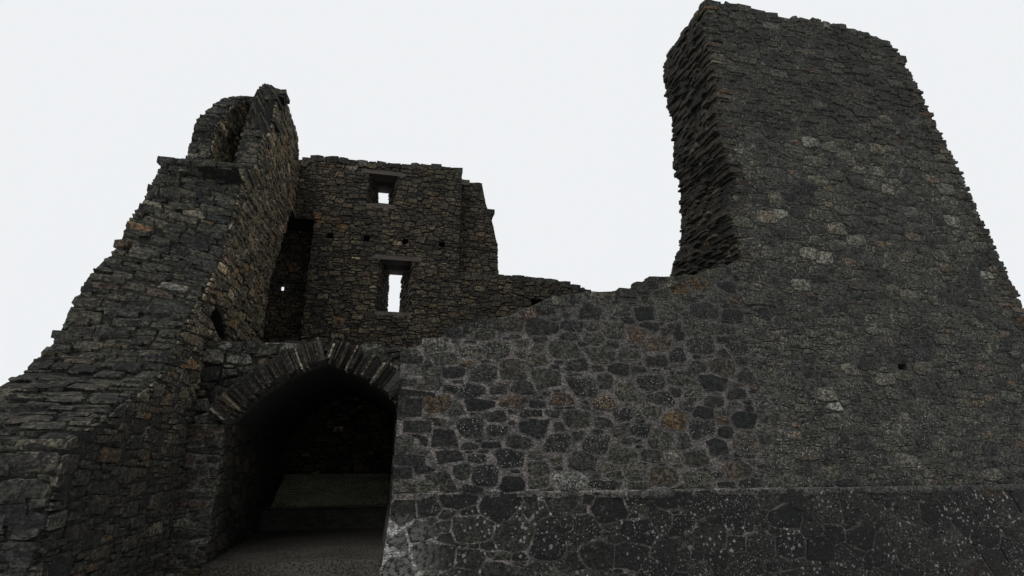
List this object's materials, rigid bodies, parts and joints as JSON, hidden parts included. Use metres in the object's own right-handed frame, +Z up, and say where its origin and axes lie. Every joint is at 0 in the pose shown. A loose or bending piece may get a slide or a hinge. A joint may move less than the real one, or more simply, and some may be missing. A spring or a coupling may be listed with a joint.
{
  "type": "ruined castle keep",
  "caption": "Roofless rubble-stone keep: low broken front wall, one tall fragment, open barrel vault, two-storey back wall with splayed windows",
  "frame": {"origin": "on the ground at the middle of the footprint's bounding box", "axes": "front wall faces -Y, +X runs along the front wall to its right end, +Z up"},
  "size_m": [17.13, 9.6, 11.33],
  "materials": {
    "rubble": "weathered grey-brown rubble in lime mortar, some lichen near the ground",
    "slab_stone": "flat split slabs of darker grey stone",
    "lintel_stone": "flat slabs with a slight pink cast"
  },
  "bodies": {
    "root": {"arch_slabs_east": "slab_stone", "arch_slabs_west": "slab_stone", "back_east_pier": "rubble", "back_outer_leaf": "rubble", "back_sill_wall": "rubble", "back_upper_east_pier": "rubble", "back_upper_west_pier": "rubble", "back_wall_base": "rubble", "back_wall_corner": "rubble", "back_wall_east": "rubble", "back_wall_head": "rubble", "back_wall_low": "rubble", "back_wall_middle": "rubble", "back_west_pier": "rubble", "chamber_end_footing": "rubble", "chamber_floor": "rubble", "chamber_kerb": "slab_stone", "chamber_platform": "rubble", "front_footing": "rubble", "front_wall_east": "rubble", "front_wall_low": "rubble", "left_inner_leaf": "rubble", "left_outer_leaf": "rubble", "left_stub_wall": "rubble", "left_upper_leaf": "rubble", "left_wall_base": "rubble", "left_wall_first_storey": "rubble", "lower_window_lintels": "lintel_stone", "lower_window_sill": "lintel_stone", "recess_back_leaf": "rubble", "recess_head_wall": "rubble", "recess_lintel": "lintel_stone", "recess_side_wall": "rubble", "right_wall": "rubble", "tall_wall_lower": "rubble", "tall_wall_upper": "rubble", "upper_window_lintels": "lintel_stone", "upper_window_sill": "lintel_stone", "vault_east_haunch": "rubble", "vault_east_wall": "rubble", "vault_west_haunch": "rubble", "vault_west_wall": "slab_stone"}
  },
  "joints": []
}
